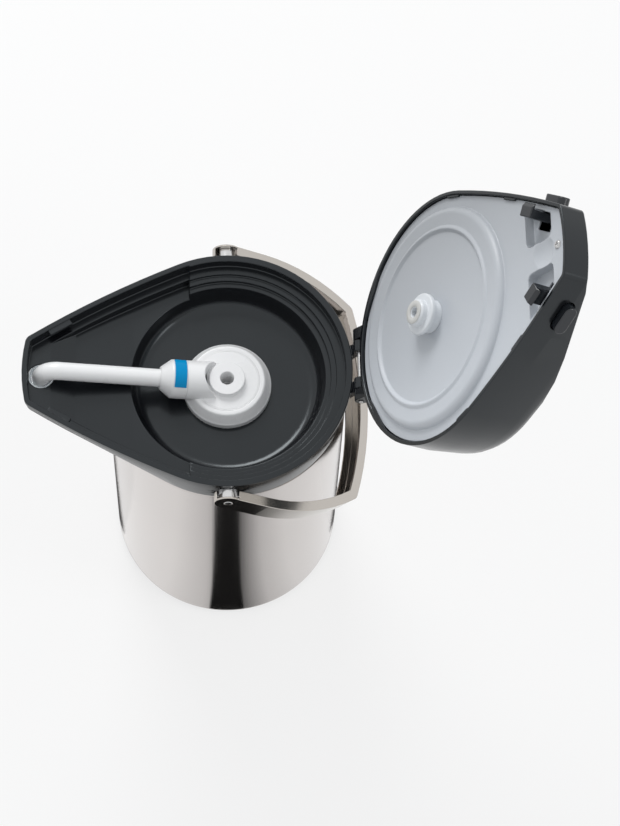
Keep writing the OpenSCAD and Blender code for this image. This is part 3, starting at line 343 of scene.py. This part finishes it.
# a closed profile carried round a small circle, whose frames have their second axis down
hub_r = 0.001
turning, start, end = geometry_group("turned_profile", [
    ("Profile", "NodeSocketGeometry"),
    ("Steps", "NodeSocketInt"),
    ("Material", "NodeSocketMaterial")])
line = add_node(turning, "GeometryNodeMeshToCurve")
hung = add_node(turning, "GeometryNodeTransform",
                {"Translation": (-hub_r, 0, 0), "Scale": (1, -1, 1)})
circle = add_node(turning, "GeometryNodeCurvePrimitiveCircle", {"Radius": hub_r})
swept = add_node(turning, "GeometryNodeCurveToMesh")
whole = add_node(turning, "GeometryNodeRealizeInstances")
painted = add_node(turning, "GeometryNodeSetMaterial")
join(turning,
     (start, "Profile", line, "Mesh"),
     (line, 0, hung, "Geometry"),
     (start, "Steps", circle, "Resolution"),
     (circle, 0, swept, "Curve"),
     (hung, 0, swept, "Profile Curve"),
     (swept, 0, whole, "Geometry"),
     (whole, 0, painted, "Geometry"),
     (start, "Material", painted, "Material"),
     (painted, 0, end, "Geometry"))


def turned(name, node, profile, body, material, steps=128, sharp=50, place=None):
    """A piece turned about its axis from a closed profile of radii and heights in millimetres."""
    count = len(profile)
    seed = bpy.data.meshes.new(name + "_profile")
    seed.from_pydata([(r * mm, z * mm, 0) for r, z in profile],
                     [(k, (k + 1) % count) for k in range(count)], [])
    piece = grown(name, seed, turning, {"Steps": steps, "Material": material})
    shape = bmesh.new()
    shape.from_mesh(piece.data)
    bmesh.ops.recalc_face_normals(shape, faces=shape.faces)
    shape.to_mesh(piece.data)
    shape.free()
    if place is not None:
        piece.data.transform(place)
    smooth(piece.data, sharp)
    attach(piece, body)
    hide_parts(node)
    return piece


def bent(centre, r, start, end, steps):
    """Points of an arc in a profile."""
    angles = [math.radians(start + (end - start) * i / steps) for i in range(steps + 1)]
    return [(centre[0] + r * math.cos(a), centre[1] + r * math.sin(a)) for a in angles]


surface_outputs = [
    ("Normal", "NodeSocketVector"), ("Roughness", "NodeSocketFloat"),
    ("Color", "NodeSocketColor")]


def surface_group(name, inputs):
    """A new shader node group for a surface's normal, roughness and colour, with its ends."""
    made = bpy.data.node_groups.new(name, "ShaderNodeTree")
    for socket, kind, value in inputs:
        made.interface.new_socket(socket, in_out="INPUT", socket_type=kind).default_value = value
    for socket, kind in surface_outputs:
        made.interface.new_socket(socket, in_out="OUTPUT", socket_type=kind)
    return made, made.nodes.new("NodeGroupInput"), made.nodes.new("NodeGroupOutput")


def use_group(made, shader, group, **values):
    """A surface group placed in a material with its own values and joined to its shader."""
    node = add_node(made.node_tree, "ShaderNodeGroup", node_tree=group)
    for key, value in values.items():
        node.inputs[key].default_value = value
    join(made.node_tree,
         (node, "Color", shader, "Base Color"),
         (node, "Roughness", shader, "Roughness"),
         (node, "Normal", shader, "Normal"))


# the marks of polishing: fine lines along one direction that bend the light and dull it a little
polish, start, end = surface_group("polishing_lines", [
    ("Stretch", "NodeSocketVector", (900, 900, 6)),
    ("Depth", "NodeSocketFloat", 0.02),
    ("Roughness", "NodeSocketFloat", 0.2),
    ("Spread", "NodeSocketFloat", 0.06),
    ("Bright", "NodeSocketColor", (0.6, 0.6, 0.6, 1)),
    ("Dull", "NodeSocketColor", (0.5, 0.5, 0.5, 1))])
where = add_node(polish, "ShaderNodeTexCoord")
drawn = add_node(polish, "ShaderNodeVectorMath", operation="MULTIPLY")
lines = add_node(polish, "ShaderNodeTexNoise", {"Scale": 1, "Detail": 3})
clouds = add_node(polish, "ShaderNodeTexNoise", {"Scale": 14})
bump = add_node(polish, "ShaderNodeBump", {"Distance": 0.001})
spread = add_node(polish, "ShaderNodeMath", operation="MULTIPLY_ADD")
tint = add_node(polish, "ShaderNodeMix", data_type="RGBA")
join(polish,
     (where, "Object", drawn, 0),
     (start, "Stretch", drawn, 1),
     (drawn, 0, lines, "Vector"),
     (where, "Object", clouds, "Vector"),
     (lines, "Fac", bump, "Height"),
     (start, "Depth", bump, "Strength"),
     (lines, "Fac", spread, 0),
     (start, "Spread", spread, 1),
     (start, "Roughness", spread, 2),
     (clouds, "Fac", tint, "Factor"),
     (start, "Bright", tint, "A"),
     (start, "Dull", tint, "B"),
     (bump, "Normal", end, "Normal"),
     (spread, 0, end, "Roughness"),
     (tint, "Result", end, "Color"))


def polished(name, bright, dull, roughness, spread, stretch, depth):
    """A polished metal with fine lines along one direction."""
    made, shader = finish_of(name, bright, roughness, metal=1.0)
    use_group(made, shader, polish, Stretch=stretch, Depth=depth, Roughness=roughness,
              Spread=spread, Bright=(*bright, 1), Dull=(*dull, 1))
    return made


shell_steel = polished(
    "shell_steel", bright=(0.62, 0.585, 0.565), dull=(0.585, 0.55, 0.535),
    roughness=0.13, spread=0.06, stretch=(700, 700, 5), depth=0.02)
shell_low, shell_top = 4, 229.5
shell_r, shell_t, edge_r, lip = 77, 1, 2, 3
flat_r = shell_r - edge_r
# extra loops near both ends keep the shading of the long wall even
loop_low, loop_top = shell_low + edge_r + 3, shell_top - 4
turned("steel_shell", "outer_shell", (
    [(flat_r - lip, shell_low)]
    + bent((flat_r, shell_low + edge_r), edge_r, -90, 0, 8)
    + [(shell_r, loop_low), (shell_r, loop_top), (shell_r, shell_top - 1.2),
       (shell_r - 0.2, shell_top - 0.3), (shell_r - 0.5, shell_top),
       (shell_r - shell_t, shell_top)]
    + bent((flat_r, shell_low + edge_r), edge_r - shell_t, 0, -90, 6)
    + [(flat_r - lip, shell_low + shell_t)]),
    "jug", shell_steel, steps=256, sharp=35)

plain_steel = polished(
    "plain_steel", bright=(0.56, 0.56, 0.56), dull=(0.5, 0.5, 0.5),
    roughness=0.28, spread=0.1, stretch=(400, 400, 400), depth=0.03)
for node in ("shell_bottom", "shoulder"):
    skin(node, 0, plain_steel)

# Feet
#
# A moulded black plastic ring sits in the shell's bottom edge, and a rubber ring
# is pressed into the groove on its underside.
grain, start, end = surface_group("moulded_grain", [
    ("Scale", "NodeSocketFloat", 900.0),
    ("Depth", "NodeSocketFloat", 0.05),
    ("Roughness", "NodeSocketFloat", 0.4),
    ("Spread", "NodeSocketFloat", 0.1),
    ("Light", "NodeSocketColor", (0.02, 0.02, 0.02, 1)),
    ("Dark", "NodeSocketColor", (0.02, 0.02, 0.02, 1))])
where = add_node(grain, "ShaderNodeTexCoord")
fine = add_node(grain, "ShaderNodeTexNoise", {"Detail": 2})
clouds = add_node(grain, "ShaderNodeTexNoise", {"Scale": 22, "Detail": 4})
bump = add_node(grain, "ShaderNodeBump", {"Distance": 0.0006})
spread = add_node(grain, "ShaderNodeMath", operation="MULTIPLY_ADD")
tint = add_node(grain, "ShaderNodeMix", data_type="RGBA")
join(grain,
     (where, "Object", fine, "Vector"),
     (where, "Object", clouds, "Vector"),
     (start, "Scale", fine, "Scale"),
     (fine, "Fac", bump, "Height"),
     (start, "Depth", bump, "Strength"),
     (clouds, "Fac", spread, 0),
     (start, "Spread", spread, 1),
     (start, "Roughness", spread, 2),
     (clouds, "Fac", tint, "Factor"),
     (start, "Dark", tint, "A"),
     (start, "Light", tint, "B"),
     (bump, "Normal", end, "Normal"),
     (spread, 0, end, "Roughness"),
     (tint, "Result", end, "Color"))


def moulded(name, light, dark, roughness, spread, scale, depth, specular=0.5):
    """A moulded plastic or rubber with a fine grain."""
    made, shader = finish_of(name, light, roughness, specular=specular)
    use_group(made, shader, grain, Scale=scale, Depth=depth, Roughness=roughness,
              Spread=spread, Light=(*light, 1), Dark=(*dark, 1))
    return made


base_plastic = moulded(
    "base_plastic", light=(0.017, 0.017, 0.018), dark=(0.012, 0.012, 0.013),
    roughness=0.42, spread=0.12, scale=900, depth=0.12)
skin("base_ring", 0.4, base_plastic)

black_rubber = moulded(
    "black_rubber", light=(0.022, 0.022, 0.022), dark=(0.014, 0.014, 0.014),
    roughness=0.62, spread=0.15, scale=1400, depth=0.2, specular=0.35)
foot_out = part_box("foot_ring")[1].x / mm
foot_in = foot_out - 10
foot_h = 3
dent_in, dent_out, dent_h = foot_in + 4.2, foot_in + 5.8, 0.5
turned("rubber_foot_ring", "foot_ring", [
    (foot_in, 0.6), (foot_in + 0.2, 0.15), (foot_in + 0.6, 0),
    (dent_in, 0), (dent_in + 0.3, dent_h), (dent_out - 0.3, dent_h), (dent_out, 0),
    (foot_out - 0.6, 0), (foot_out - 0.2, 0.15), (foot_out, 0.6),
    (foot_out, foot_h), (foot_in, foot_h)], "jug", black_rubber, steps=160)

# Liner and mouth gasket
#
# The inner vessel is drawn from satin steel and hangs by its lip on the shoulder.
# A silicone ring seals the joint under the collar.
liner_steel = polished(
    "liner_steel", bright=(0.60, 0.595, 0.58), dull=(0.54, 0.54, 0.53),
    roughness=0.3, spread=0.1, stretch=(30, 30, 900), depth=0.05)
skin("inner_liner", 0, liner_steel, sharp=40)

pale_rubber = moulded(
    "pale_rubber", light=(0.66, 0.66, 0.64), dark=(0.58, 0.58, 0.56),
    roughness=0.42, spread=0.12, scale=800, depth=0.08)
seal_in, seal_out, seal_low, seal_high, seal_round = 27.5, 31.5, 221.8, 223.4, 0.3
turned("soft_mouth_gasket", "mouth_gasket", [
    (seal_in, seal_low), (seal_out, seal_low), (seal_out, seal_high - seal_round),
    (seal_out - seal_round, seal_high), (seal_in + seal_round, seal_high),
    (seal_in, seal_high - seal_round)], "jug", pale_rubber)

# Collar
#
# One moulding of glossy charcoal plastic: the rim with the spout, the round well,
# the trough for the pipe, two catches and two hinge knuckles. It snaps over the
# shell's top edge.
charcoal = moulded(
    "charcoal_plastic", light=(0.0062, 0.0068, 0.0085), dark=(0.0045, 0.0050, 0.0065),
    roughness=0.17, spread=0.07, scale=1500, depth=0.02)
charcoal_shader = charcoal.node_tree.nodes["Principled BSDF"]
charcoal_shader.inputs["Specular Tint"].default_value = (0.88, 0.96, 1.0, 1)
skin("collar", 0.5, charcoal)

# Outlet sleeve
#
# A milky, see-through tube lines the hole in the spout's tip, round the end of the
# dispensing pipe. It is a moulding that is pushed in from below.
clear_plastic, shader = finish_of("clear_plastic", (0.82, 0.87, 0.9), 0.12)
shader.inputs["Transmission Weight"].default_value = 0.55
skin("outlet_sleeve", 0.2, clear_plastic)

# Hinge pin
#
# A plain steel rod runs through the two knuckles of the collar and the two of the
# lid. It is held by a press fit.
skin("hinge_pin", 0.3, plain_steel, sharp=40)

# Bail and its studs
#
# The bail is bent from a polished steel channel. Its round ends turn on two
# stepped studs that are pressed into the collar's sides.
stud_steel = polished(
    "stud_steel", bright=(0.66, 0.66, 0.66), dull=(0.6, 0.6, 0.6),
    roughness=0.16, spread=0.05, stretch=(300, 300, 300), depth=0.02)
skin("bail_studs", 0.25, stud_steel, sharp=40)

bail_steel = polished(
    "bail_steel", bright=(0.54, 0.51, 0.475), dull=(0.49, 0.46, 0.425),
    roughness=0.12, spread=0.05, stretch=(6, 6, 500), depth=0.01)
skin("bail", 0.3, bail_steel, sharp=30)

# Stopper
#
# White moulded plastic: a cap with the neck of the pipe on it and a plug with a
# ring gasket below. A nut with a coloured clip holds the pipe, and a straw hangs
# from the plug.
white_plastic = moulded(
    "white_plastic", light=(0.89, 0.895, 0.90), dark=(0.86, 0.865, 0.87),
    roughness=0.24, spread=0.08, scale=900, depth=0.02)
white_edges = {
    "stopper_cap": 0.5, "stopper_plug": 0.4, "pipe_nut": 0.4, "dispensing_pipe": 0.25,
    "straw": 0.2}
for node, edge in white_edges.items():
    skin(node, edge, white_plastic, sharp=35)

blue_plastic = moulded(
    "blue_plastic", light=(0.001, 0.29, 0.60), dark=(0.001, 0.24, 0.53),
    roughness=0.2, spread=0.06, scale=600, depth=0.02, specular=0.12)
skin("nut_clip", 0.15, blue_plastic, sharp=35)

plug_r, gasket_r, groove_r = 24, 25.2, 21
gasket_low, gasket_high, bulge_r = 213, 217, 0.5
gasket_middle = (gasket_low + gasket_high) / 2
turned("soft_stopper_gasket", "stopper_gasket", (
    [(groove_r, gasket_low), (plug_r, gasket_low)]
    + bent((gasket_r - bulge_r, gasket_middle - 0.8), bulge_r, -70, 80, 6)
    + [(plug_r + 0.3, gasket_middle)]
    + bent((gasket_r - bulge_r, gasket_middle + 0.8), bulge_r, -80, 70, 6)
    + [(plug_r, gasket_high), (groove_r, gasket_high)]),
    "stopper", pale_rubber)

# Lid shell
#
# The lid is a moulding of the same charcoal plastic. It stands open at 122 degrees,
# so its turned pieces are made on the closed lid, with heights from the rim, and
# then opened with it.
hinge = Vector((0, 84.4, 259.8)) * mm
rim = Vector((0, 0, 256)) * mm
lid_turn = Matrix.Rotation(math.radians(-122), 4, "X")
lid_place = Matrix.Translation(hinge) @ lid_turn @ Matrix.Translation(rim - hinge)
skin("lid_shell", 0.5, charcoal)

# Inner cover
#
# A thin moulding of frosted, slightly see-through plastic closes the lid's underside.
# One screw at the spout end and the shell's tabs hold it.
frosted = moulded(
    "frosted_plastic", light=(0.56, 0.585, 0.61), dark=(0.53, 0.555, 0.585),
    roughness=0.34, spread=0.08, scale=500, depth=0.05)
# painted light: the base colour is painted paler toward the near side, standing in for the light
# that comes through the thin plastic
shade_side, light_side = -0.06, 0.05
tree = frosted.node_tree
where = add_node(tree, "ShaderNodeTexCoord")
apart = add_node(tree, "ShaderNodeSeparateXYZ")
across = add_node(tree, "ShaderNodeMapRange", {"From Min": shade_side, "From Max": light_side})
# the painted light's colours, from the shaded far side to the lit near side
painted_light_tint = add_node(tree, "ShaderNodeMix", {"A": (0.39, 0.41, 0.435, 1), "B": (0.64, 0.675, 0.72, 1)},
                 data_type="RGBA")
join(tree,
     (where, "Object", apart, 0),
     (apart, "X", across, "Value"),
     (across, 0, painted_light_tint, "Factor"),
     (painted_light_tint, "Result", tree.nodes["Principled BSDF"], "Base Color"))
skin("inner_cover", 0.5, frosted)
skin("cover_screw", 0.12, plain_steel, sharp=40)

# Air nozzle
#
# A white moulded nozzle in the middle of the cover, with a thin silicone seal on
# its front. It meets the stopper's boss when the lid is shut.
nozzle_plastic = moulded(
    "nozzle_plastic", light=(0.78, 0.81, 0.84), dark=(0.74, 0.77, 0.80),
    roughness=0.25, spread=0.08, scale=600, depth=0.02)
skin("air_nozzle", 0.3, nozzle_plastic, sharp=35)

face_in, face_out, face_low, face_high, face_round = 3.6, 7.3, -14.7, -14.1, 0.1
turned("soft_nozzle_seal", "nozzle_seal", [
    (face_in, face_low + face_round), (face_in + face_round, face_low),
    (face_out - face_round, face_low), (face_out, face_low + face_round),
    (face_out, face_high), (face_in, face_high)],
    "lid", pale_rubber, place=lid_place)

# Pump
#
# A silicone bellows with a steel spring inside it stands on the cover under the
# push plate. A ring clamps its foot, and a plate with the intake valve closes it.
pump_y = 4
on_pump = lid_place @ Matrix.Translation((0, pump_y * mm, 0))
pump_low, plate_z, pump_travel = 1.5, 40.4, 22
pump_foot = Vector((0, 0, pump_low * mm))
bellows_r, pleat, pleats, pleat_points, wall = 39, 5, 8, 8, 1
foot_t, foot_w, neck_in, neck_h = 1.4, 2.6, 1.5, 1.2
pleat_low = pump_low + foot_t
pleat_high = plate_z - neck_h
step = (pleat_high - pleat_low) / pleats


def pleat_line(low, high):
    """The pleats' wall from the foot up, as a wave between two radii."""
    line = []
    for k in range(pleats * pleat_points + 1):
        swing = (1 - math.cos(2 * math.pi * k / pleat_points)) / 2
        line.append((low + (high - low) * swing, pleat_low + step * k / pleat_points))
    return line


bellows = turned("soft_bellows", "bellows", (
    [(bellows_r - pleat, pump_low), (bellows_r + foot_w, pump_low),
     (bellows_r + foot_w, pleat_low)]
    + pleat_line(bellows_r - pleat + wall, bellows_r)
    + [(bellows_r - neck_in, pleat_high), (bellows_r - neck_in, plate_z),
       (bellows_r - pleat, plate_z)]
    + pleat_line(bellows_r - pleat, bellows_r - wall)[::-1]),
    "lid", pale_rubber, sharp=60, place=on_pump)
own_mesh(bellows)

# round wire swept along a helix, with the coil standing on its first turn
winding, start, end = geometry_group("wound_wire", [
    ("Coil Radius", "NodeSocketFloat"),
    ("Wire Radius", "NodeSocketFloat"),
    ("Turns", "NodeSocketFloat"),
    ("Rise", "NodeSocketFloat"),
    ("Material", "NodeSocketMaterial")])
helix = add_node(winding, "GeometryNodeCurveSpiral", {"Resolution": 28, "Reverse": True})
section = add_node(winding, "GeometryNodeCurvePrimitiveCircle", {"Resolution": 10})
wire = add_node(winding, "GeometryNodeCurveToMesh", {"Fill Caps": True})
lift = add_node(winding, "ShaderNodeCombineXYZ")
stood = add_node(winding, "GeometryNodeTransform")
whole = add_node(winding, "GeometryNodeRealizeInstances")
painted = add_node(winding, "GeometryNodeSetMaterial")
join(winding,
     (start, "Coil Radius", helix, "Start Radius"),
     (start, "Coil Radius", helix, "End Radius"),
     (start, "Turns", helix, "Rotations"),
     (start, "Rise", helix, "Height"),
     (start, "Wire Radius", section, "Radius"),
     (helix, 0, wire, "Curve"),
     (section, 0, wire, "Profile Curve"),
     (start, "Wire Radius", lift, "Z"),
     (wire, 0, stood, "Geometry"),
     (lift, 0, stood, "Translation"),
     (stood, 0, whole, "Geometry"),
     (whole, 0, painted, "Geometry"),
     (start, "Material", painted, "Material"),
     (painted, 0, end, "Geometry"))


def coil(name, node, r, wire_d, turns, length, place):
    """A compression spring of round wire on its own z = 0, with sizes in millimetres."""
    piece = grown(name, bpy.data.meshes.new(name + "_seed"), winding, {
        "Coil Radius": r * mm, "Wire Radius": wire_d / 2 * mm, "Turns": float(turns),
        "Rise": (length - wire_d) * mm, "Material": plain_steel})
    piece.data.transform(place)
    smooth(piece.data, 50)
    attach(piece, "lid")
    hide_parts(node)
    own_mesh(piece)


coil("wound_pump_spring", "pump_spring", r=14, wire_d=2, turns=7, length=plate_z - pump_low,
     place=on_pump @ Matrix.Translation(pump_foot))

for node in ("bellows_ring", "bellows_plate"):
    skin(node, 0.2, white_plastic, sharp=35)
skin("push_plate", 0.5, charcoal, sharp=35)

stem_r, barb_r, flap_r = 1.5, 2.4, 9
valve_low, valve_high = plate_z - 1, plate_z + 3.2
turned("soft_intake_valve", "intake_valve", [
    (0.01, plate_z - 0.7), (0.01, valve_high), (2, valve_high), (barb_r, valve_high - 0.3),
    (barb_r, plate_z + 2), (stem_r, plate_z + 2), (stem_r, plate_z), (flap_r - 0.3, plate_z),
    (flap_r, plate_z - 0.3), (flap_r - 0.4, plate_z - 0.8), (3, valve_low)],
    "pump_top", pale_rubber, steps=64, place=on_pump)

# Latches
#
# Each latch is one moulding: a button in the lid's side, an arm and a hook that
# reaches down through the cover. A small steel spring holds it out.
latch_plastic = moulded(
    "latch_plastic", light=(0.018, 0.021, 0.026), dark=(0.014, 0.017, 0.021),
    roughness=0.2, spread=0.08, scale=1200, depth=0.03)
for node in ("latch_left", "latch_right"):
    skin(node, 0.6, latch_plastic, sharp=35)

# the lid's sides are arcs of a large radius, and a latch moves along one of its radii
side_r, side_x, side_y = 637, -513.3851, 216.0665
latch_angle = math.radians(-30.2669)
spring_in, spring_along, spring_z = 23.7, 4.5, 17.4
spring_l, latch_travel = 11, 4
up = Vector((0, 0, 1))
for side, node, joint in (
        (-1, "latch_spring_left", "latch_left_press"),
        (1, "latch_spring_right", "latch_right_press")):
    out = Vector((side * math.cos(latch_angle), math.sin(latch_angle), 0))
    along = Vector((-side * math.sin(latch_angle), math.cos(latch_angle), 0))
    foot = (Vector((side * side_x, side_y, spring_z)) + out * (side_r - spring_in)
            - along * spring_along)
    outward = Matrix((-up, along * side, out)).transposed().to_4x4()
    coil("wound_" + node, node, r=2, wire_d=0.6, turns=5, length=spring_l,
         place=lid_place @ Matrix.Translation(foot * mm) @ outward)
